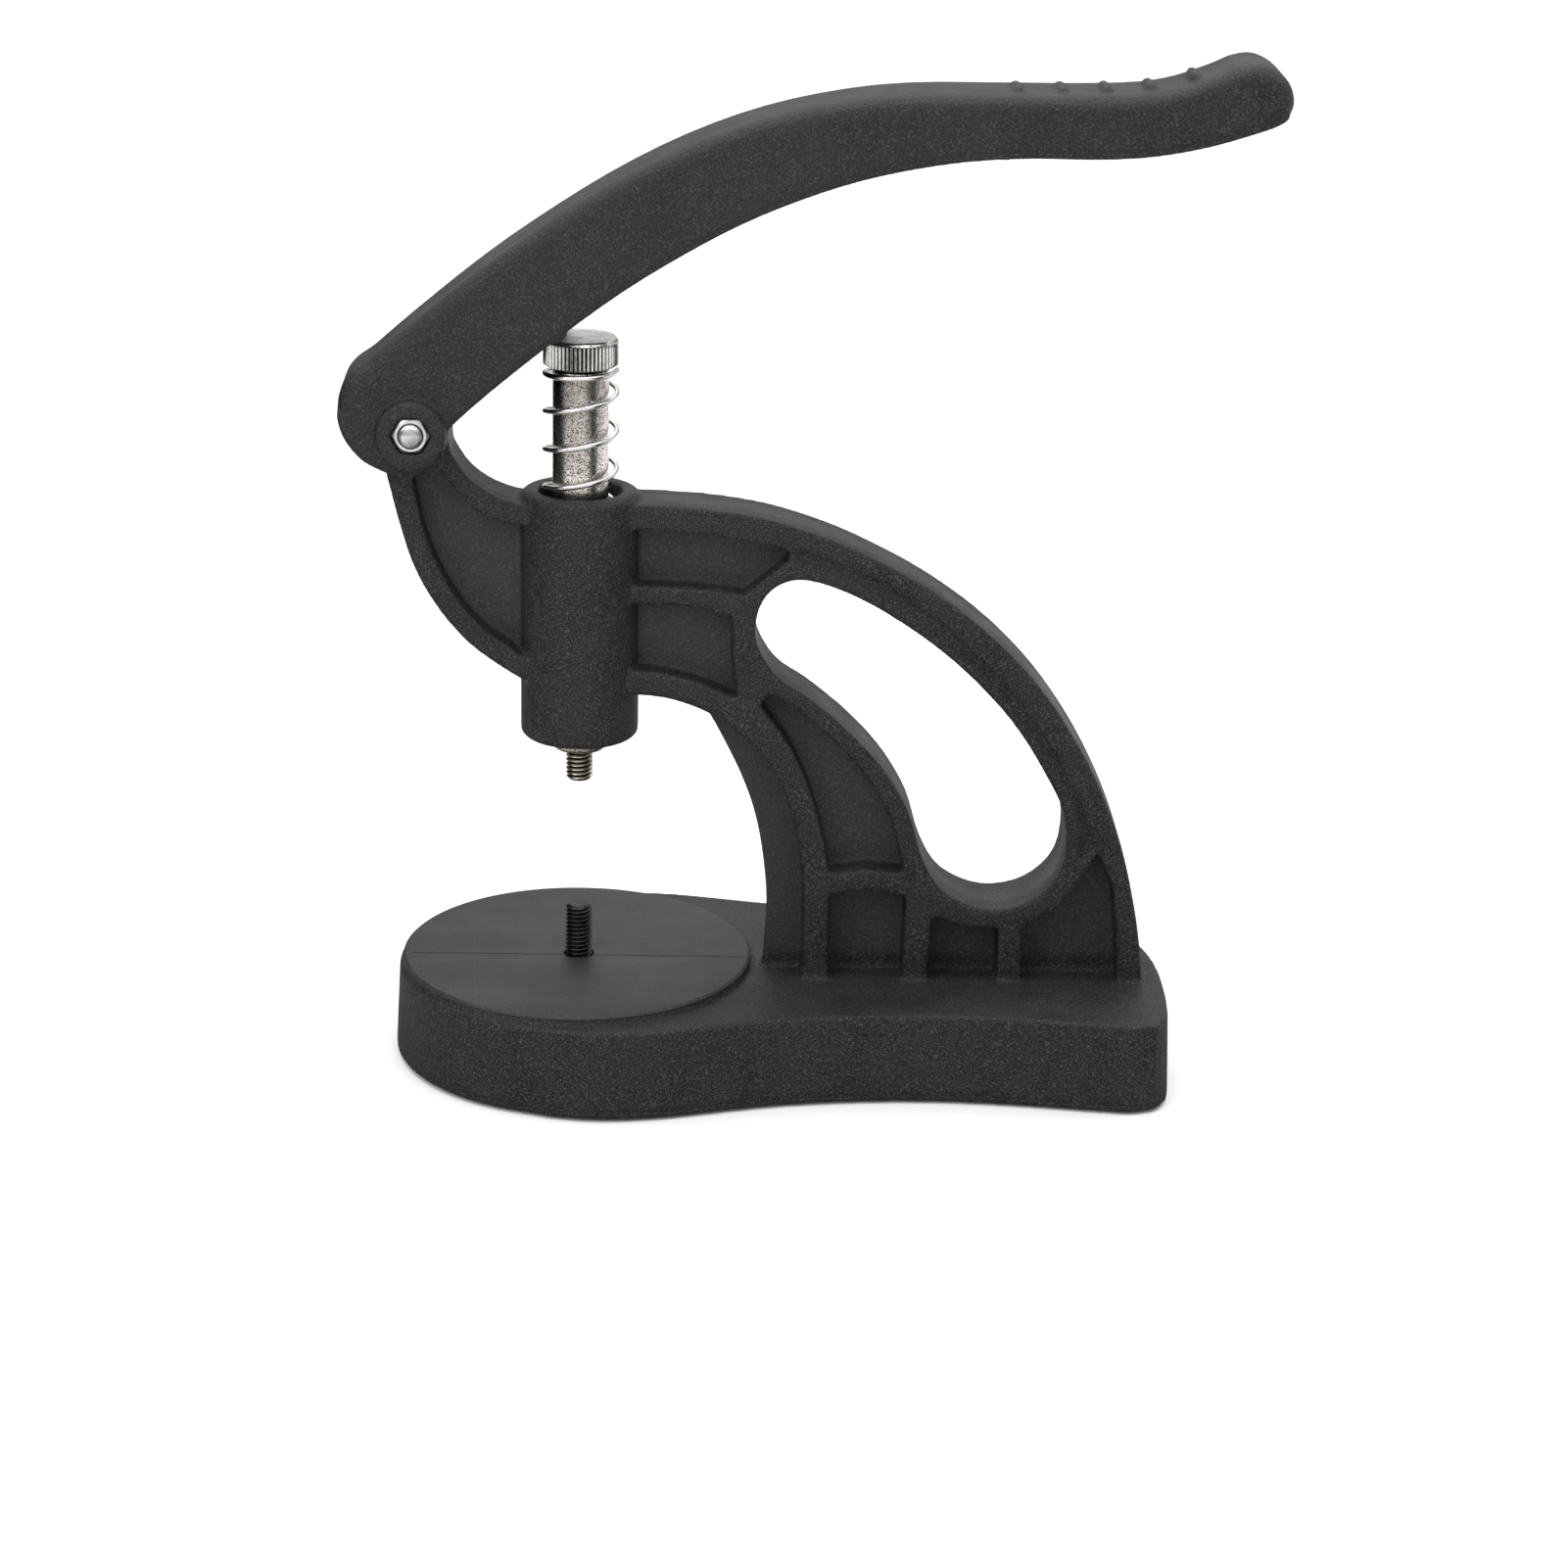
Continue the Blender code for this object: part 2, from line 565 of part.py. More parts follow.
def make_pivot_nut(group):
    pivot = (PIVOT.x, PIVOT.z)
    low = -BOSS_FACE + NUT_SUNK
    high = low + M5_NUT_T
    nut = rod("pivot_nut", hex_radius(M5_FLATS), low, high, group, "Y", pivot, 6, turn=pi / 6)
    return combine(nut, rod("nut_hole", M5_R + GAP, -20, 0, group, "Y", pivot, 24), "DIFFERENCE")


def main():
    clear_scene()
    press = collection("watch_case_press")

    plastic = material("black_moulded_plastic", (0.016, 0.016, 0.017), 0.5)
    lever_plastic = material("black_lever_plastic", (0.014, 0.014, 0.015), 0.5)
    nickel = material("nickel_plate", (0.72, 0.69, 0.65), 0.25, 1.0)
    chrome = material("bright_spring_wire", (0.8, 0.8, 0.8), 0.12, 1.0)
    zinc = material("zinc_plate", (0.68, 0.68, 0.68), 0.35, 1.0)
    oxide = material("black_oxide_steel", (0.03, 0.03, 0.03), 0.35, 0.8)
    rubber = material("black_rubber", (0.02, 0.02, 0.02), 0.85)

    finish(make_frame(press), plastic)
    finish(make_lever(press), lever_plastic, PIVOT)
    finish(make_ram_rod(press), nickel)
    finish(make_ram_knob(press), nickel)
    finish(rod("ram_stud", M6_R, RAM_STUD_TIP, RAM_STUD_TOP, press, sides=32, chamfer=0.6), nickel)
    finish(make_spring(press), chrome, Vector((0, 0, SEAT_FLOOR)))
    finish(make_base_bolt(press), oxide)
    finish(make_pivot_bolt(press), zinc, PIVOT)
    finish(make_pivot_nut(press), zinc, PIVOT)
    for name, spot in FOOT_SPOTS.items():
        finish(rod("foot_" + name, FOOT_R, 0, FOOT_TOP, press, center=spot, sides=32, chamfer=0.4), rubber)

    # The press stands with its bounding box centred on the origin.
    middle = (LEFT_END + RIGHT_END) / 2
    for obj in press.objects:
        obj.location.x -= middle * MM


main()
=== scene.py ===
"""Looks of the watch case press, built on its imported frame. Lengths are in millimetres, times MM."""

from math import cos, floor, pi, radians, sin, sqrt, tan

import bmesh
import bpy
import numpy as np
from mathutils import Matrix, Vector


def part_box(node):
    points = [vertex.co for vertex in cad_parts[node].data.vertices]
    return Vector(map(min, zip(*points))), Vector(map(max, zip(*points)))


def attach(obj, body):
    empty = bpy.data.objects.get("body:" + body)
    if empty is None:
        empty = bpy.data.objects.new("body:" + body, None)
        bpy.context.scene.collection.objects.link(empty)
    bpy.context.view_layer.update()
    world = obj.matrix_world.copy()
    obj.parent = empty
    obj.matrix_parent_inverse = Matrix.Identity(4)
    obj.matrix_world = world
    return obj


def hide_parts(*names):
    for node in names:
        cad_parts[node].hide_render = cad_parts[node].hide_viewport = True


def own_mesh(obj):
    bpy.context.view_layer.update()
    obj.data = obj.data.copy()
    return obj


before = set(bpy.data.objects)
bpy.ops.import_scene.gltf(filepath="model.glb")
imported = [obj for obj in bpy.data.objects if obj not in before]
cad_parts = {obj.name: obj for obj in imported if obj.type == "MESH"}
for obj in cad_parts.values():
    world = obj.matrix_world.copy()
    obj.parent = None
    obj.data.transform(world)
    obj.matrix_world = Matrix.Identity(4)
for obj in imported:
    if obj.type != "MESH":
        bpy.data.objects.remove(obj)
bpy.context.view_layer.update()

MM = 0.001

# The camera: where it stands from the ram's axis, how far it looks down, and its roll
CAMERA_SIDE, CAMERA_FRONT, CAMERA_HEIGHT = 24.0, 803.0, 352.2
CAMERA_PITCH, CAMERA_ROLL = 0.345, 0.0137
CAMERA_LENS, CAMERA_SHIFT_X = 87.9, 0.0618

BODY_VOXEL, LEVER_VOXEL = 0.5, 0.4
EDGE_SOFTENING = 10

GROOVE, RING_GROOVE = 0.25, 0.35  # depth of the lip's fine line and of the groove round the disc
LIP_HEIGHT = 1.3
DISC_CHAMFER = 0.5
DISC_X, DISC_Y = -0.5, 1.8  # the disc isn't quite concentric with its stud
DISC_PROUD = 0.06
STUD_HEIGHT = 12.1
SEAM_Y = -1.2
WEB_DEPTH = 2.6  # the thin web's faces are nearer to the mid-plane than this

M6_PITCH, M6_FLATS, M6_HEAD = 1.0, 10.0, 4.0
M5_PITCH, M5_R, M5_HEAD = 0.8, 2.48, 3.5
THREAD_SHARE = 0.61  # depth of a thread as a share of its pitch
KNURLS = 54
KNURL_DEPTH = 0.5
GAP = 0.3
NUT_FLATS, NUT_HOLE_R = 7.2, 2.62
SPIGOT_R = 4

GRIPS, GRIP_STEP = 5, 9.2
GRIP_START = 91.0  # from the ram's axis to the first grip ridge
GRIP_R, GRIP_LENGTH, GRIP_RISE = 1.2, 8.0, -0.1

WIRE_R = 0.6
COIL_TURNS = 4.85
LOW_CLOSED, HIGH_CLOSED = 0.75, 0.5  # turns that lie flat at each end

# The stage: the mat's grey beside the press and far from it, and how bright the world is from -X to +X
MAT_NEAR, MAT_FAR = (0.25, 0.245, 0.24), (0.85, 0.85, 0.85)
SCREEN_STOPS = (
    (0.0, 0.9), (0.1, 0.12), (0.26, 0.1), (0.33, 1.0), (0.66, 1.0), (0.74, 0.1), (0.9, 0.14), (1.0, 0.9),
)


# Places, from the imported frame


def middle(node):
    low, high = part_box(node)
    return (low + high) / 2


RAM = middle("ram_rod")
RAM_X = RAM.x / MM
PIVOT = middle("pivot_nut")
SEAT_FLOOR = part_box("return_spring")[0].z / MM - GAP
KNOB_LOW, KNOB_HIGH = (corner.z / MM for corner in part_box("ram_knob"))
KNOB_R = (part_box("ram_knob")[1].x - RAM.x) / MM
ROD_LOW, ROD_HIGH = (corner.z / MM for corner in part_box("ram_rod"))
ROD_R = (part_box("ram_rod")[1].x - RAM.x) / MM
STUD_LOW, STUD_HIGH = (corner.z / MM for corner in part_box("ram_stud"))
M6_R = (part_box("ram_stud")[1].x - RAM.x) / MM
BOLT_LOW, BOLT_HIGH = (corner.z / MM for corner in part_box("base_bolt"))
DISC_TOP = BOLT_HIGH - STUD_HEIGHT
DISC_R, DISC_FACE_R = 39.2, 38.5
COIL_R = (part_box("return_spring")[1].x - RAM.x) / MM - WIRE_R


# Mesh helpers


def new_object(name, mesh):
    obj = bpy.data.objects.new(name, mesh)
    bpy.context.scene.collection.objects.link(obj)
    return obj


def object_from(shape, name, smooth=True):
    """An object from a bmesh in millimetres."""
    bmesh.ops.recalc_face_normals(shape, faces=shape.faces)
    for vert in shape.verts:
        vert.co *= MM
    for face in shape.faces:
        face.smooth = smooth
    mesh = bpy.data.meshes.new(name)
    shape.to_mesh(mesh)
    shape.free()
    return new_object(name, mesh)


def baked(obj):
    """Replaces the object's mesh with what its modifiers make of it."""
    graph = bpy.context.evaluated_depsgraph_get()
    mesh = bpy.data.meshes.new_from_object(obj.evaluated_get(graph), depsgraph=graph)
    obj.modifiers.clear()
    obj.data = mesh
    return obj


def copy_of(node, name):
    """A new object with the node's shape, its points joined and its material left out."""
    shape = bmesh.new()
    shape.from_mesh(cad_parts[node].data)
    bmesh.ops.remove_doubles(shape, verts=shape.verts, dist=2e-6)
    mesh = bpy.data.meshes.new(name)
    shape.to_mesh(mesh)
    shape.free()
    return new_object(name, mesh)


def moulded(obj, voxel, softening):
    """Gives the object small even faces, then rounds its edges and root fillets as moulding does."""
    remesh = obj.modifiers.new("voxels", "REMESH")
    remesh.mode = "VOXEL"
    remesh.voxel_size = voxel * MM
    remesh.use_smooth_shade = True
    soften = obj.modifiers.new("soften", "SMOOTH")
    soften.factor = 0.5
    soften.iterations = softening
    return baked(obj)


def rings(levels, sides, closed_ends=True):
    """A bmesh of rings joined one to the next. A level is a function of angle that gives (radius, height)."""
    shape = bmesh.new()
    made = []
    for level in levels:
        ring = []
        for i in range(sides):
            angle = 2 * pi * i / sides
            radius, height = level(angle)
            ring.append(shape.verts.new((radius * cos(angle), radius * sin(angle), height)))
        made.append(ring)
    for low, high in zip(made, made[1:]):
        for i in range(sides):
            j = (i + 1) % sides
            shape.faces.new((low[i], low[j], high[j], high[i]))
    if closed_ends:
        shape.faces.new(reversed(made[0]))
        shape.faces.new(made[-1])
    return shape


def lathe(name, profile, sides=96):
    """A solid of revolution about Z from (radius, height) points. Each rim is eased by a small chamfer."""
    levels = [lambda angle, r=r, z=z: (r, z) for r, z in eased(profile)]
    obj = object_from(rings(levels, sides), name)
    return creased(obj)


def eased(profile, size=0.12):
    """The profile with each inner corner cut by two short steps, so that it catches a thin highlight."""
    points = [Vector(p) for p in profile]
    out = [points[0]]
    for before, corner, after in zip(points, points[1:], points[2:]):
        for other in (before, after):
            reach = min(size, (other - corner).length * 0.3)
            out.append(corner + (other - corner).normalized() * reach)
    return [*out, points[-1]]


def creased(obj, angle=32):
    """Smooth shading that stops at sharp edges."""
    shape = bmesh.new()
    shape.from_mesh(obj.data)
    for edge in shape.edges:
        edge.smooth = len(edge.link_faces) != 2 or edge.calc_face_angle(0) < radians(angle)
    shape.to_mesh(obj.data)
    shape.free()
    return obj


def placed(obj, where, turn=None):
    """Moves the object's mesh, so that its texture stays at its own scale and place."""
    matrix = Matrix.Translation(where)
    if turn is not None:
        matrix = matrix @ turn
    obj.data.transform(matrix)
    return obj


def joined(name, *objs):
    """One object from several, their meshes merged into one."""
    shape = bmesh.new()
    for obj in objs:
        shape.from_mesh(obj.data)
    mesh = bpy.data.meshes.new(name)
    shape.to_mesh(mesh)
    shape.free()
    for obj in objs:
        bpy.data.objects.remove(obj)
    return new_object(name, mesh)


# Materials


def add(tree, kind, settings=None, **inputs):
    """Adds a shader node. An input is a value, or a socket to link."""
    made = tree.nodes.new(kind)
    for key, value in (settings or {}).items():
        setattr(made, key, value)
    for key, value in inputs.items():
        socket = made.inputs[key.replace("_", " ")]
        if isinstance(value, bpy.types.NodeSocket):
            tree.links.new(value, socket)
        else:
            socket.default_value = value
    return made


def new_material(name, roughness, metallic=0.0, specular=0.5):
    made = bpy.data.materials.new(name)
    made.use_nodes = True
    shader = made.node_tree.nodes["Principled BSDF"]
    shader.inputs["Roughness"].default_value = roughness
    shader.inputs["Metallic"].default_value = metallic
    shader.inputs["Specular IOR Level"].default_value = specular
    return made, made.node_tree, shader


def place_of(tree, stretch=(1, 1, 1)):
    coordinates = add(tree, "ShaderNodeTexCoord")
    mapping = add(tree, "ShaderNodeMapping", Vector=coordinates.outputs["Object"], Scale=stretch)
    return mapping.outputs["Vector"]


def noise(tree, place, size, detail=2.0, low=0.35, high=0.65):
    """Noise with features of about this size in millimetres, stretched so that low to high is 0 to 1."""
    made = add(tree, "ShaderNodeTexNoise", Vector=place, Scale=1 / (size * MM), Detail=detail)
    spread = add(tree, "ShaderNodeMapRange", Value=made.outputs["Fac"], From_Min=low, From_Max=high)
    return spread.outputs["Result"]


def ranged(tree, value, low, high):
    made = add(tree, "ShaderNodeMapRange", Value=value, To_Min=low, To_Max=high)
    return made.outputs["Result"]


def blended(tree, share, first, second):
    """A colour between two, each a colour or a socket."""
    made = tree.nodes.new("ShaderNodeMix")
    made.data_type = "RGBA"
    for socket, value in ((made.inputs[0], share), (made.inputs[6], first), (made.inputs[7], second)):
        if isinstance(value, bpy.types.NodeSocket):
            tree.links.new(value, socket)
        elif isinstance(value, tuple):
            socket.default_value = (*value, 1)
        else:
            socket.default_value = value
    return made.outputs[2]


def bumped(tree, shader, height, distance):
    made = add(tree, "ShaderNodeBump", Height=height, Distance=distance * MM, Strength=1.0)
    tree.links.new(made.outputs["Normal"], shader.inputs["Normal"])


def summed(tree, first, second, share):
    """first + share * second"""
    made = add(tree, "ShaderNodeMath", {"operation": "MULTIPLY_ADD"})
    tree.links.new(second, made.inputs[0])
    made.inputs[1].default_value = share
    tree.links.new(first, made.inputs[2])
    return made.outputs[0]


def times(tree, first, second):
    made = add(tree, "ShaderNodeMath", {"operation": "MULTIPLY"})
    tree.links.new(first, made.inputs[0])
    tree.links.new(second, made.inputs[1])
    return made.outputs[0]


def plastic(name, dark, light, glint_tint, rubbed=False, panels=0.0):
    """Black glass-filled plastic: fine pale specks painted into its colour as the glints of its grain, a
    pebbled skin, faint flow marks and a few rubbed places.

    panels, if any, is how pale the thin web between the ribs is, whose grain is coarser.
    """
    made, tree, shader = new_material(name, 0.5, specular=0.34)
    place = place_of(tree)
    grain_glints = noise(tree, place, 0.34, 2.0, 0.5, 0.68)
    flow = noise(tree, place_of(tree, (1, 1, 0.45)), 9.0, 4.0)
    ground = blended(tree, flow, dark, light)
    if panels:
        height = add(tree, "ShaderNodeSeparateXYZ", Vector=place)
        depth = add(tree, "ShaderNodeMath", {"operation": "ABSOLUTE"})
        tree.links.new(height.outputs["Y"], depth.inputs[0])
        inner = add(tree, "ShaderNodeMapRange", Value=depth.outputs[0], From_Min=WEB_DEPTH * MM,
                    From_Max=(WEB_DEPTH + 0.6) * MM, To_Min=1.0, To_Max=0.0)
        above = add(tree, "ShaderNodeMapRange", Value=height.outputs["Z"], From_Min=(DISC_TOP + 1) * MM,
                    From_Max=(DISC_TOP + 3) * MM)
        on_web = times(tree, inner.outputs["Result"], above.outputs["Result"])
        ground = blended(tree, on_web, ground, (panels, panels * 0.96, panels * 0.93))
    # Painted highlight: the pale specks in the colour stand for glints off the grainy skin. The same specks
    # also shape the skin's bump.
    color = blended(tree, grain_glints, ground, glint_tint)
    tree.links.new(color, shader.inputs["Base Color"])
    wear = noise(tree, place_of(tree, (0.3, 1, 1)), 16.0, 4.0, 0.45, 0.68)
    rough = summed(tree, ranged(tree, flow, 0.46, 0.6), wear, -0.13 if rubbed else -0.07)
    tree.links.new(rough, shader.inputs["Roughness"])
    pebbles = noise(tree, place, 0.6, 3.0, 0.25, 0.75)
    skin = summed(tree, pebbles, grain_glints, 0.6)
    bumped(tree, shader, skin, 0.07 if rubbed else 0.17)
    return made


def in_valleys(tree, place, radius, depth, top):
    """A mask that is 1 in a knurl's or thread's valleys about the ram's axis, below the height top."""
    flat = add(tree, "ShaderNodeVectorMath", {"operation": "MULTIPLY_ADD"})
    tree.links.new(place, flat.inputs[0])
    flat.inputs[1].default_value = (1, 1, 0)
    flat.inputs[2].default_value = (-RAM.x, 0, 0)
    reach = add(tree, "ShaderNodeVectorMath", {"operation": "LENGTH"})
    tree.links.new(flat.outputs[0], reach.inputs[0])
    sunk = add(tree, "ShaderNodeMapRange", Value=reach.outputs["Value"], From_Min=(radius - depth) * MM,
               From_Max=radius * MM, To_Min=1.0, To_Max=0.0)
    height = add(tree, "ShaderNodeSeparateXYZ", Vector=place)
    under = add(tree, "ShaderNodeMath", {"operation": "LESS_THAN"})
    tree.links.new(height.outputs["Z"], under.inputs[0])
    under.inputs[1].default_value = top * MM
    return times(tree, sunk.outputs["Result"], under.outputs[0])


def metal(name, color, tint, roughness, pits=0.0, pit_size=0.42, pit_edge=0.68, relief=0.012, wear=0.08,
          valleys=None):
    """Plated metal with uneven tint, fine scratches and pits, and painted shade in its valleys."""
    made, tree, shader = new_material(name, roughness, metallic=1.0)
    place = place_of(tree)
    stain = noise(tree, place, 3.2, 3.0, 0.4, 0.7)
    surface = blended(tree, stain, color, tint)
    scratches = noise(tree, place, 0.16, 2.0, 0.3, 0.7)
    hollows = noise(tree, place, pit_size, 2.0, pit_edge, pit_edge + 0.1)
    if pits:
        dark = tuple(c * (1 - pits) for c in tint)
        surface = blended(tree, hollows, surface, dark)
    # Painted shade: the valleys about the ram's axis are darkened to near black, as is everything below the
    # top that lies further in.
    if valleys:
        surface = blended(tree, in_valleys(tree, place, *valleys), surface, (0.012, 0.011, 0.01))
    tree.links.new(surface, shader.inputs["Base Color"])
    rough = summed(tree, ranged(tree, scratches, roughness, roughness + wear), stain, wear)
    tree.links.new(rough, shader.inputs["Roughness"])
    bumped(tree, shader, summed(tree, scratches, hollows, -1.5), relief)
    return made


def rubber(name):
    made, tree, shader = new_material(name, 0.85, specular=0.3)
    place = place_of(tree)
    dust = noise(tree, place, 1.4, 4.0, 0.5, 0.75)
    color = blended(tree, dust, (0.014, 0.014, 0.014), (0.05, 0.048, 0.045))
    tree.links.new(color, shader.inputs["Base Color"])
    tree.links.new(ranged(tree, dust, 0.75, 0.95), shader.inputs["Roughness"])
    bumped(tree, shader, noise(tree, place, 0.4, 3.0), 0.03)
    return made


# The third colour of each plastic is the tint of its painted glints.
FRAME_PLASTIC = plastic("frame_plastic_grained", (0.0082, 0.0078, 0.0074), (0.013, 0.0125, 0.0118),
                        (0.075, 0.072, 0.068), panels=0.03)
# Painted light: the disc's colours are lifted above the frame's to paint the overhead light on its top face.
# Its smoother, rubbed skin is real.
LIT_DISC_PLASTIC = plastic("disc_plastic_painted_light_rubbed", (0.018, 0.0175, 0.017), (0.026, 0.0253, 0.0245),
                       (0.05, 0.049, 0.047), rubbed=True)
LEVER_PLASTIC = plastic("lever_plastic_grained", (0.0125, 0.0121, 0.0118), (0.0175, 0.017, 0.0165),
                        (0.058, 0.057, 0.055))
NICKEL = metal("nickel_plate_pitted", (0.85, 0.81, 0.75), (0.66, 0.6, 0.53), 0.08, pits=0.9,
               pit_size=0.3, pit_edge=0.5, relief=0.01)
# The knob's knurl and the stud's thread get painted shade in their valleys.
KNOB_NICKEL = metal("nickel_plate_bright", (0.76, 0.75, 0.73), (0.6, 0.58, 0.55), 0.12, pits=0.6,
                    pit_edge=0.6, valleys=(KNOB_R - 0.1, 0.32, KNOB_HIGH - 0.85))
STUD_NICKEL = metal("nickel_plate_thread", (0.9, 0.84, 0.75), (0.65, 0.56, 0.45), 0.15, pits=0.5,
                    valleys=(M6_R - 0.12, 0.4, STUD_HIGH))
CHROME = metal("spring_wire_bright", (0.85, 0.85, 0.85), (0.68, 0.68, 0.68), 0.06, wear=0.05)
ZINC = metal("zinc_plate_dull", (0.68, 0.68, 0.67), (0.5, 0.5, 0.49), 0.24, pits=0.4)
OXIDE = metal("black_oxide_steel", (0.035, 0.035, 0.037), (0.06, 0.06, 0.06), 0.3, wear=0.1)
RUBBER = rubber("black_rubber_dusty")


def ready(obj, surface, body, slot, *nodes):
    """Gives the piece its material and its body, and hides the CAD nodes that it stands for."""
    obj.data.materials.clear()
    obj.data.materials.append(surface)
    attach(obj, body)
    if nodes:
        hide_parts(*nodes)
    return obj


# Moulded pieces


def points_of(obj):
    """The mesh's points and normals as arrays, the points in millimetres."""
    count = len(obj.data.vertices)
    points, normals = np.empty(count * 3), np.empty(count * 3)
    obj.data.vertices.foreach_get("co", points)
    obj.data.vertex_normals.foreach_get("vector", normals)
    return points.reshape(-1, 3) / MM, normals.reshape(-1, 3)


def move_points(obj, points):
    obj.data.vertices.foreach_set("co", (points * MM).ravel())
    obj.data.update()


def score_body(obj):
    """The moulding's fine lines: a lip round the base's foot and a groove round the disc."""
    points, normals = points_of(obj)
    height = points[:, 2]
    on_lip = (abs(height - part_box("frame")[0].z / MM - LIP_HEIGHT) < 0.3) & (abs(normals[:, 2]) < 0.5)
    points[on_lip, :2] -= normals[on_lip, :2] * GROOVE
    radius = np.hypot(points[:, 0] - RAM_X - DISC_X, points[:, 1] - DISC_Y)
    ring = (radius > DISC_R - 0.3) & (radius < DISC_R + 0.9)
    on_ring = ring & (height < DISC_TOP - DISC_CHAMFER + 0.2) & (normals[:, 2] > 0.6)
    points[on_ring, 2] -= RING_GROOVE
    move_points(obj, points)


def make_body():
    body = moulded(copy_of("frame", "press_body"), BODY_VOXEL, EDGE_SOFTENING)
    score_body(body)
    return ready(body, FRAME_PLASTIC, "stand", "frame_plastic", "frame")


def make_disc():
    """The crisp turned face of the base's disc, with the mould's parting line across it. It is in a paler
    copy of the frame's plastic, whose colour paints the overhead light on its top.
    """
    top = DISC_TOP + DISC_PROUD
    hole = M6_R + GAP
    sides = 192

    def about(x, y, radius, height):
        def at(angle):
            toward = x * cos(angle) + y * sin(angle)
            across = y * cos(angle) - x * sin(angle)
            return toward + sqrt(radius**2 - across**2), height
        return at

    levels = [about(0, 0, hole, top - 2), about(0, 0, hole, top - 0.25), about(0, 0, hole + 0.2, top)]
    for radius, height in ((DISC_FACE_R, top), (DISC_FACE_R + 0.25, top - 0.08), (DISC_R, top - DISC_CHAMFER),
                           (DISC_R, top - 1.7), (DISC_R - 1.5, top - 2)):
        levels.append(about(DISC_X, DISC_Y, radius, height))
    face = object_from(rings(levels, sides), "disc_turned")
    seam_parts = []
    for side in (-1, 1):
        start, end = sorted((side * (hole + 0.2), side * (DISC_FACE_R - 0.8)))
        seam = bmesh.new()
        bmesh.ops.create_cube(seam, size=1)
        bmesh.ops.scale(seam, vec=(end - start, 0.34, 0.16), verts=seam.verts)
        bmesh.ops.translate(seam, vec=((start + end) / 2, SEAM_Y, top), verts=seam.verts)
        bmesh.ops.bevel(seam, geom=seam.edges, offset=0.06, segments=2, affect="EDGES")
        seam_parts.append(object_from(seam, "seam"))
    disc = joined("disc_face", face, *seam_parts)
    placed(disc, (RAM.x, 0, 0))
    return ready(creased(disc), LIT_DISC_PLASTIC, "stand", "frame_plastic")


def score_lever(obj):
    """The parting line that runs just above the lower edge of each cheek."""
    points, normals = points_of(obj)
    side = abs(points[:, 1])
    column = np.floor(points[:, 0]).astype(int)
    column -= column.min()
    lowest = np.full(column.max() + 1, 1e9)
    cheek = side > 9.5
    np.minimum.at(lowest, column[cheek], points[cheek, 2])
    rise = points[:, 2] - lowest[column]
    on_line = cheek & (abs(normals[:, 1]) > 0.8) & (rise > 1.3) & (rise < 1.9)
    points[on_line, 1] -= normals[on_line, 1] * 0.18
    move_points(obj, points)


def roof_height(obj, x):
    """The height of the lever's top at this X."""
    points, _ = points_of(obj)
    return points[abs(points[:, 0] - x) < 1.5, 2].max()


def make_lever():
    blank = copy_of("lever", "lever_blank")
    fine = moulded(blank, 1.0, 2)
    heights = [(x, roof_height(fine, x)) for x in (RAM_X + GRIP_START + i * GRIP_STEP for i in range(GRIPS))]
    bpy.data.objects.remove(fine)
    parts = [copy_of("lever", "lever_shell")]
    for x, top in heights:
        ridge = bmesh.new()
        bmesh.ops.create_uvsphere(ridge, u_segments=24, v_segments=16, radius=GRIP_R)
        for vert in ridge.verts:
            vert.co.y += (1 if vert.co.y > 0 else -1) * GRIP_LENGTH / 2
        bmesh.ops.translate(ridge, vec=(x, 0, top + GRIP_RISE), verts=ridge.verts)
        parts.append(object_from(ridge, "ridge"))
    lever = joined("lever_arm", *parts)
    moulded(lever, LEVER_VOXEL, EDGE_SOFTENING)
    score_lever(lever)
    return ready(lever, LEVER_PLASTIC, "lever", "lever_plastic", "lever")


# Metal pieces


def threaded(name, radius, low, high, pitch, sides=64):
    """A screw thread about Z, with a chamfered tip at both ends."""
    depth = pitch * THREAD_SHARE
    step = pitch / 12
    count = round((high - low) / step)

    def level(z):
        def at(angle):
            turn = (z - low) / pitch - angle / (2 * pi)
            wave = abs(turn - floor(turn) - 0.5) * 2
            crest = min(max(wave * 1.35 - 0.12, 0), 1)
            end = min(z - low, high - z)
            limit = radius - depth * 1.1 + end
            full = radius - depth * (1 - crest)
            return min(full, limit, radius), z
        return at

    levels = [level(low + (high - low) * i / count) for i in range(count + 1)]
    return creased(object_from(rings(levels, sides), name), 50)


def hexagon(name, flats, thick, hole, sides=96):
    """A hexagonal nut about Z from 0 to thick, its corners cut by a cone as a real nut's are."""
    half = flats / 2

    def reach(angle):
        return half / cos((angle + pi / 6) % (pi / 3) - pi / 6)

    def corner(z, up):
        def at(angle):
            fall = max(reach(angle) - half * 0.97, 0) * tan(radians(28))
            return reach(angle), z - fall if up else z + fall
        return at

    rim = half * 0.93
    levels = [
        lambda angle: (hole, 0.25),
        lambda angle: (hole + 0.25, 0),
        lambda angle: (rim, 0),
        corner(0.12, False),
        corner(thick - 0.12, True),
        lambda angle: (rim, thick),
        lambda angle: (hole + 0.25, thick),
        lambda angle: (hole, thick - 0.25),
    ]
    shape = rings(levels, sides, closed_ends=False)
    points = list(shape.verts)
    first, last = points[:sides], points[-sides:]
    for i in range(sides):
        j = (i + 1) % sides
        shape.faces.new((last[i], last[j], first[j], first[i]))
    return creased(object_from(shape, name), 18)


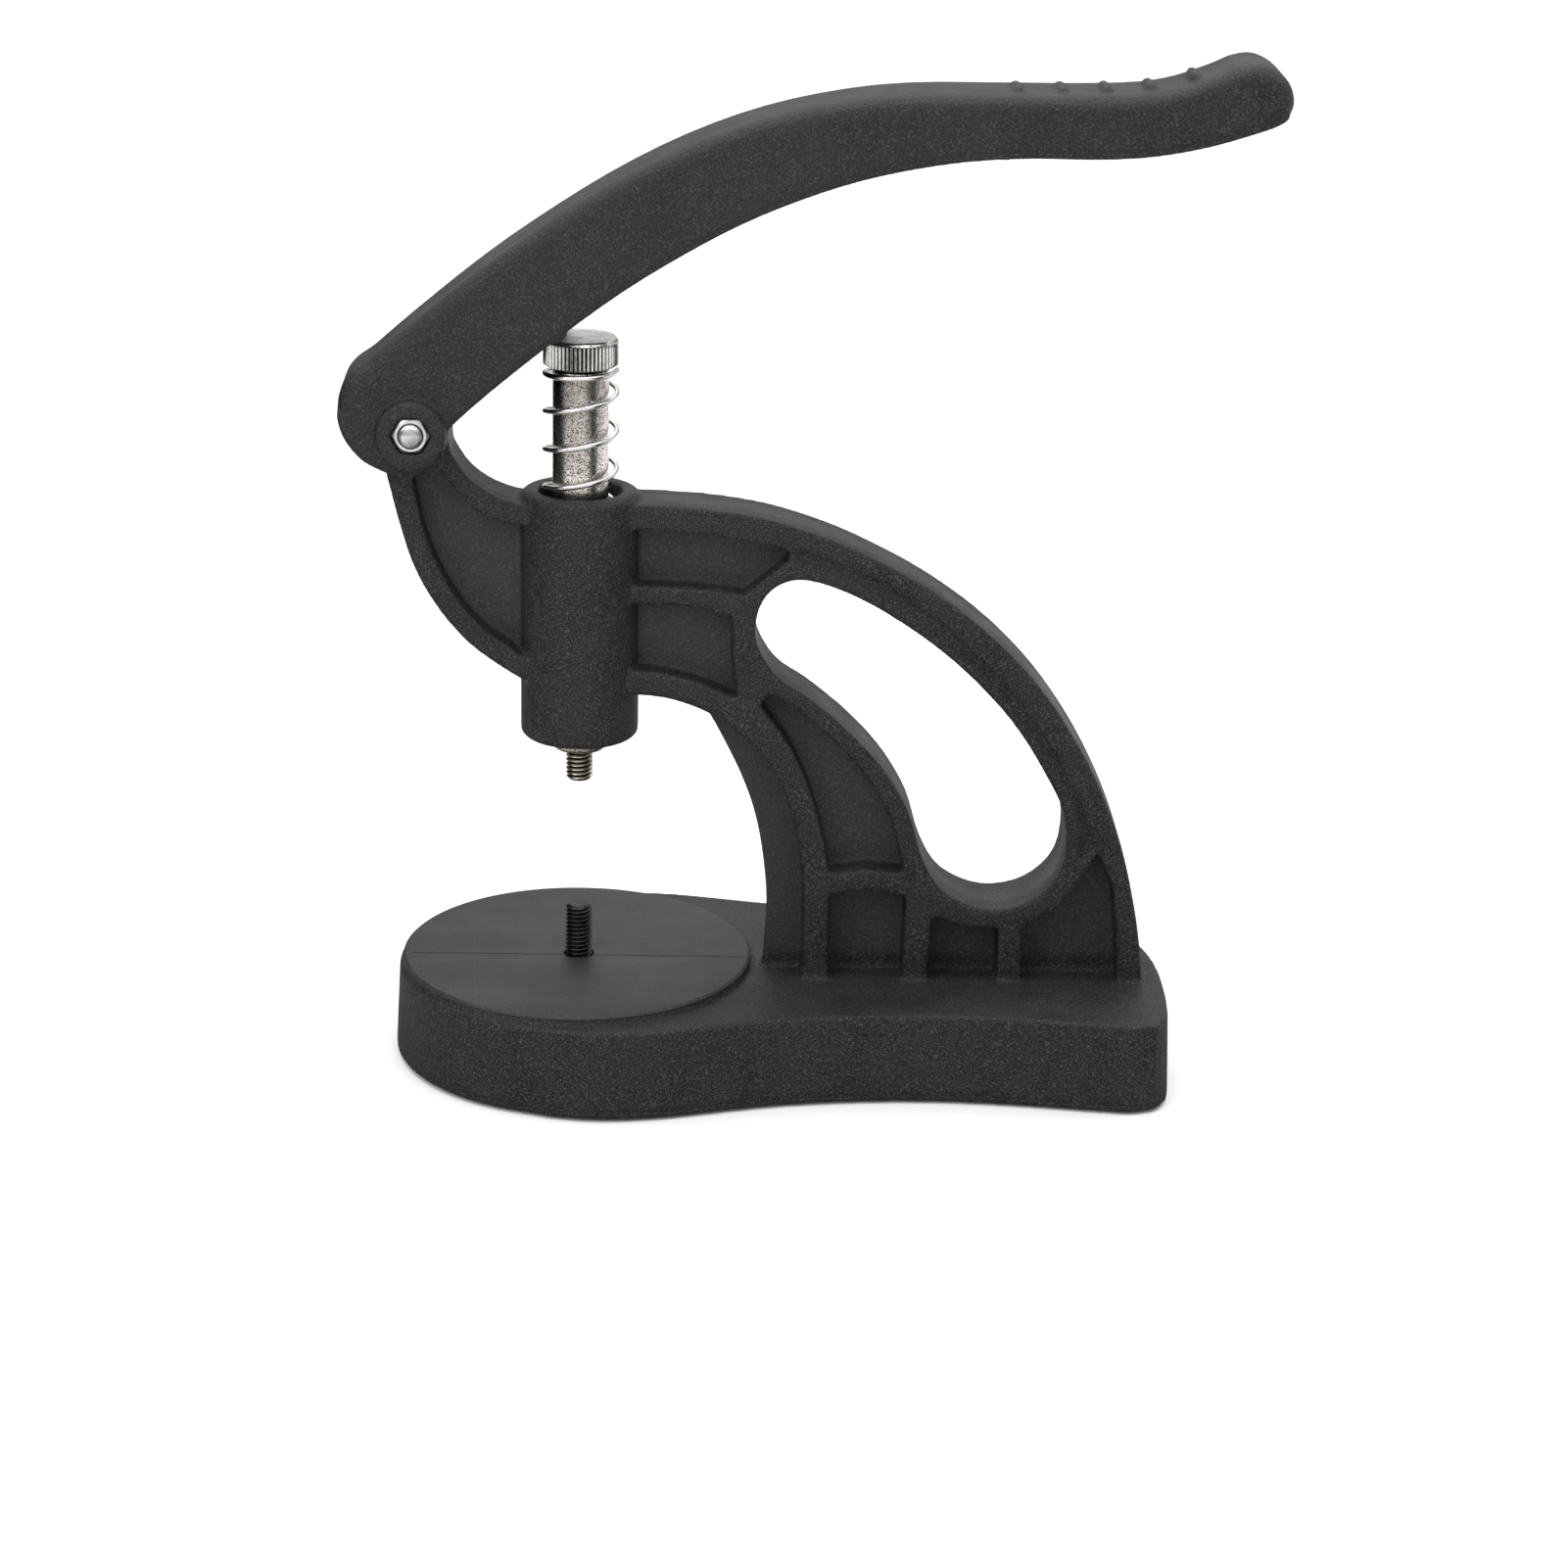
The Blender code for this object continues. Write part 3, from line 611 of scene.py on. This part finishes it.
def make_rod():
    shoulder = KNOB_LOW - 0.3
    bore = M6_R + GAP
    floor_of_bore = STUD_HIGH + GAP
    rod = lathe(
        "rod_turned",
        [(0.01, ROD_HIGH), (SPIGOT_R - 0.4, ROD_HIGH), (SPIGOT_R, ROD_HIGH - 0.4), (SPIGOT_R, shoulder),
         (ROD_R - 0.5, shoulder), (ROD_R, shoulder - 0.5), (ROD_R, ROD_LOW + 0.7), (ROD_R - 0.7, ROD_LOW),
         (bore + 0.3, ROD_LOW), (bore, ROD_LOW + 0.3), (bore, floor_of_bore), (0.01, floor_of_bore)],
        sides=128,
    )
    placed(rod, (RAM.x, 0, 0))
    return ready(rod, NICKEL, "ram", "nickel_rod", "ram_rod")


def make_knob():
    """A cap with a straight knurl between two plain rims, and a rim highlight round its flat top."""
    foot, top = KNOB_LOW, KNOB_HIGH
    sides = KNURLS * 8

    def plain(radius, height):
        return lambda angle: (radius, height)

    def knurl(height, share):
        def at(angle):
            wave = abs(angle * KNURLS / pi % 2 - 1)
            return KNOB_R - KNURL_DEPTH * share * wave**1.2, height
        return at

    levels = [
        plain(4.4, foot), plain(KNOB_R - 0.8, foot), plain(KNOB_R - 0.35, foot + 0.3),
        knurl(foot + 0.45, 1), knurl(foot + 1.2, 1), knurl(top - 1.6, 1), knurl(top - 0.95, 1),
        knurl(top - 0.8, 0.25), plain(KNOB_R - 0.3, top - 0.62), plain(KNOB_R - 0.42, top - 0.3),
        plain(KNOB_R - 0.75, top - 0.03), plain(KNOB_R - 1.1, top), plain(KNOB_R - 1.5, top - 0.1),
        plain(KNOB_R - 2.2, top - 0.13), plain(0.02, top - 0.05),
    ]
    knob = creased(object_from(rings(levels, sides), "knob_cap"), 40)
    placed(knob, (RAM.x, 0, 0))
    return ready(knob, KNOB_NICKEL, "ram", "nickel_knob", "ram_knob")


def make_ram_stud():
    stud = threaded("ram_stud_thread", M6_R, STUD_LOW, STUD_HIGH, M6_PITCH)
    placed(stud, (RAM.x, 0, 0))
    return ready(stud, STUD_NICKEL, "ram", "nickel_stud", "ram_stud")


def make_base_bolt():
    thread = threaded("bolt_thread", M6_R, BOLT_LOW + M6_HEAD - 1, BOLT_HIGH, M6_PITCH)
    head = hexagon("bolt_head", M6_FLATS, M6_HEAD, 0.4)
    placed(head, (0, 0, BOLT_LOW * MM))
    bolt = joined("base_bolt_thread", thread, head)
    placed(bolt, (RAM.x, 0, 0))
    return ready(bolt, OXIDE, "stand", "black_oxide", "base_bolt")


def along_y(obj, start):
    """Turns a piece made about Z so that it runs along -Y from start, on the pivot's axis."""
    turn = Matrix.Rotation(pi / 2, 4, "X") @ Matrix.Rotation(pi / 6, 4, "Z")
    return placed(obj, (PIVOT.x, start, PIVOT.z), turn)


def make_pivot():
    low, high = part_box("pivot_bolt")
    nut_low, nut_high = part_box("pivot_nut")
    thick = (nut_high.y - nut_low.y) / MM
    nut = along_y(hexagon("pivot_nut_hex", NUT_FLATS, thick, NUT_HOLE_R), nut_high.y)
    ready(nut, ZINC, "lever", "zinc_nut", "pivot_nut")
    length = (high.y - low.y) / MM
    shank = threaded("pivot_shank", M5_R, 0.5, length, M5_PITCH)
    head = hexagon("pivot_head", NUT_FLATS, M5_HEAD, 0.3)
    bolt = joined("pivot_bolt_thread", shank, head)
    along_y(bolt, high.y)
    return ready(bolt, ZINC, "lever", "zinc_bolt", "pivot_bolt")


def coil_height(turn):
    """Height of the wire's centre after so many turns: closed at both ends, open between."""
    low = SEAT_FLOOR + GAP + WIRE_R
    high = KNOB_LOW - GAP - WIRE_R
    open_turns = COIL_TURNS - LOW_CLOSED - HIGH_CLOSED
    share = min(max((turn - LOW_CLOSED) / open_turns, 0), 1)
    closed = 2 * WIRE_R + 0.2
    ends = closed * (min(turn, LOW_CLOSED) + max(turn - COIL_TURNS + HIGH_CLOSED, 0))
    rise = high - low - (LOW_CLOSED + HIGH_CLOSED) * closed
    return low + ends + rise * share


def make_spring():
    per_turn, sides = 64, 20
    count = round(COIL_TURNS * per_turn)

    def centre(i):
        turn = i / per_turn
        angle = 2 * pi * (turn - COIL_TURNS)
        return Vector((COIL_R * cos(angle), COIL_R * sin(angle), coil_height(turn)))

    shape = bmesh.new()
    made = []
    for i in range(count + 1):
        here = centre(i)
        along = (centre(min(i + 1, count)) - centre(max(i - 1, 0))).normalized()
        side = Vector((here.x, here.y, 0)).normalized()
        up = along.cross(side).normalized()
        side = up.cross(along).normalized()
        ring = []
        for k in range(sides):
            angle = 2 * pi * k / sides
            ring.append(shape.verts.new(here + (side * cos(angle) + up * sin(angle)) * WIRE_R))
        made.append(ring)
    for low, high in zip(made, made[1:]):
        for k in range(sides):
            j = (k + 1) % sides
            shape.faces.new((low[k], low[j], high[j], high[k]))
    shape.faces.new(reversed(made[0]))
    shape.faces.new(made[-1])
    spring = creased(object_from(shape, "spring_wire"), 50)
    placed(spring, (RAM.x, 0, 0))
    ready(spring, CHROME, "stand", "spring_wire", "return_spring")
    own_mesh(spring)
    return spring


def make_feet():
    for node in sorted(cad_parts):
        if not node.startswith("foot_"):
            continue
        low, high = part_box(node)
        radius, top = (high.x - low.x) / 2 / MM, (high.z - low.z) / MM
        pad = lathe(
            node + "_pad",
            [(0.01, 0.25), (radius - 2.2, 0.25), (radius - 1.9, 0), (radius - 0.9, 0), (radius, 0.8),
             (radius, top), (0.01, top)],
            sides=64,
        )
        placed(pad, ((low.x + high.x) / 2, (low.y + high.y) / 2, low.z))
        ready(pad, RUBBER, "stand", "foot_rubber", node)


# Stage


def make_floor():
    shape = bmesh.new()
    bmesh.ops.create_grid(shape, x_segments=1, y_segments=1, size=6000)
    plane = object_from(shape, "floor", smooth=False)
    made, _, shader = new_material("floor_white", 0.75, specular=0.15)
    shader.inputs["Base Color"].default_value = (0.9, 0.9, 0.9, 1)
    plane.data.materials.append(made)


def seen_in_gloss_only(obj):
    """Leaves the object in reflections alone, as a studio's flags are kept out of the picture."""
    obj.visible_camera = obj.visible_diffuse = obj.visible_shadow = obj.visible_transmission = False


def make_mat():
    """A grey mat round the press, seen only in reflections: dark beside it, pale further out."""
    shape = bmesh.new()
    bmesh.ops.create_grid(shape, x_segments=1, y_segments=1, size=900)
    bmesh.ops.translate(shape, vec=(0, 0, 0.1), verts=shape.verts)
    mat = object_from(shape, "reflection_mat", smooth=False)
    made, tree, shader = new_material("mat_grey", 0.9, specular=0.0)
    place = add(tree, "ShaderNodeTexCoord").outputs["Object"]
    far = add(tree, "ShaderNodeVectorMath", {"operation": "LENGTH"})
    tree.links.new(place, far.inputs[0])
    out = add(tree, "ShaderNodeMapRange", Value=far.outputs["Value"], From_Min=0.1, From_Max=0.55)
    grey = blended(tree, out.outputs["Result"], MAT_NEAR, MAT_FAR)
    tree.links.new(grey, shader.inputs["Base Color"])
    mat.data.materials.append(made)
    seen_in_gloss_only(mat)


def make_flag(name, where, size, turn):
    """A black card standing on the floor, seen only in reflections."""
    shape = bmesh.new()
    bmesh.ops.create_grid(shape, x_segments=1, y_segments=1, size=0.5)
    bmesh.ops.scale(shape, vec=(size[0], size[1], 1), verts=shape.verts)
    bmesh.ops.rotate(shape, matrix=Matrix.Rotation(pi / 2, 3, "X"), verts=shape.verts)
    bmesh.ops.rotate(shape, matrix=Matrix.Rotation(radians(turn), 3, "Z"), verts=shape.verts)
    bmesh.ops.translate(shape, vec=(where[0], where[1], size[1] / 2), verts=shape.verts)
    flag = object_from(shape, name, smooth=False)
    made, _, shader = new_material("flag_black", 1.0, specular=0.0)
    shader.inputs["Base Color"].default_value = (0.01, 0.01, 0.01, 1)
    flag.data.materials.append(made)
    seen_in_gloss_only(flag)


def make_world():
    """A white studio: bright overhead, dimmer towards the horizon, with two dark screens at the sides."""
    world = bpy.data.worlds.new("studio")
    bpy.context.scene.world = world
    world.use_nodes = True
    tree = world.node_tree
    direction = add(tree, "ShaderNodeTexCoord").outputs["Generated"]
    parts = add(tree, "ShaderNodeSeparateXYZ", Vector=direction)
    height = add(tree, "ShaderNodeMapRange", Value=parts.outputs["Z"], From_Min=0.0, From_Max=0.8,
                 To_Min=0.34, To_Max=1.5)
    across = add(tree, "ShaderNodeMapRange", Value=parts.outputs["X"], From_Min=-1.0, From_Max=1.0)
    screens = add(tree, "ShaderNodeValToRGB", Fac=across.outputs["Result"])
    ramp = screens.color_ramp
    ends = SCREEN_STOPS[0], SCREEN_STOPS[-1]
    for element, (position, value) in zip(ramp.elements, ends):
        element.position, element.color = position, (value, value, value, 1)
    for position, value in SCREEN_STOPS[1:-1]:
        ramp.elements.new(position).color = (value, value, value, 1)
    overhead = add(tree, "ShaderNodeMapRange", Value=parts.outputs["Z"], From_Min=0.15, From_Max=0.5)
    color = blended(tree, overhead.outputs["Result"], screens.outputs["Color"], (1.0, 1.0, 1.0))
    background = tree.nodes["Background"]
    tree.links.new(color, background.inputs["Color"])
    tree.links.new(height.outputs["Result"], background.inputs["Strength"])


def make_light(name, where, size, power):
    data = bpy.data.lights.new(name, "AREA")
    data.shape = "RECTANGLE"
    data.size, data.size_y = size
    data.energy = power
    light = bpy.data.objects.new(name, data)
    light.location = where
    aim = Vector((0, 0, 0.1)) - light.location
    light.rotation_euler = aim.to_track_quat("-Z", "Y").to_euler()
    bpy.context.scene.collection.objects.link(light)


def make_camera():
    data = bpy.data.cameras.new("camera")
    data.lens = CAMERA_LENS
    data.shift_x = CAMERA_SHIFT_X
    data.clip_start, data.clip_end = 0.01, 50
    camera = bpy.data.objects.new("camera", data)
    where = Vector((RAM_X + CAMERA_SIDE, -CAMERA_FRONT, CAMERA_HEIGHT)) * MM
    tilt = Matrix.Rotation(pi / 2 - CAMERA_PITCH, 4, "X") @ Matrix.Rotation(CAMERA_ROLL, 4, "Z")
    camera.matrix_world = Matrix.Translation(where) @ tilt
    bpy.context.scene.collection.objects.link(camera)
    bpy.context.scene.camera = camera


def make_stage():
    make_floor()
    make_mat()
    make_flag("left_flag", (RAM_X - 150, 150), (440, 260), 90)
    make_flag("right_flag", (RAM_X + 157, -110), (110, 260), 55)
    make_world()
    make_light("overhead_softbox", (0.1, 0.1, 1.3), (1.4, 1.0), 9)
    make_light("key_softbox", (-0.9, -0.9, 1.1), (0.7, 0.7), 5)
    make_camera()
    bpy.context.scene.view_settings.view_transform = "Standard"


make_body()
make_disc()
make_lever()
make_rod()
make_knob()
make_ram_stud()
make_base_bolt()
make_pivot()
make_spring()
make_feet()
make_stage()

bpy.context.view_layer.update()
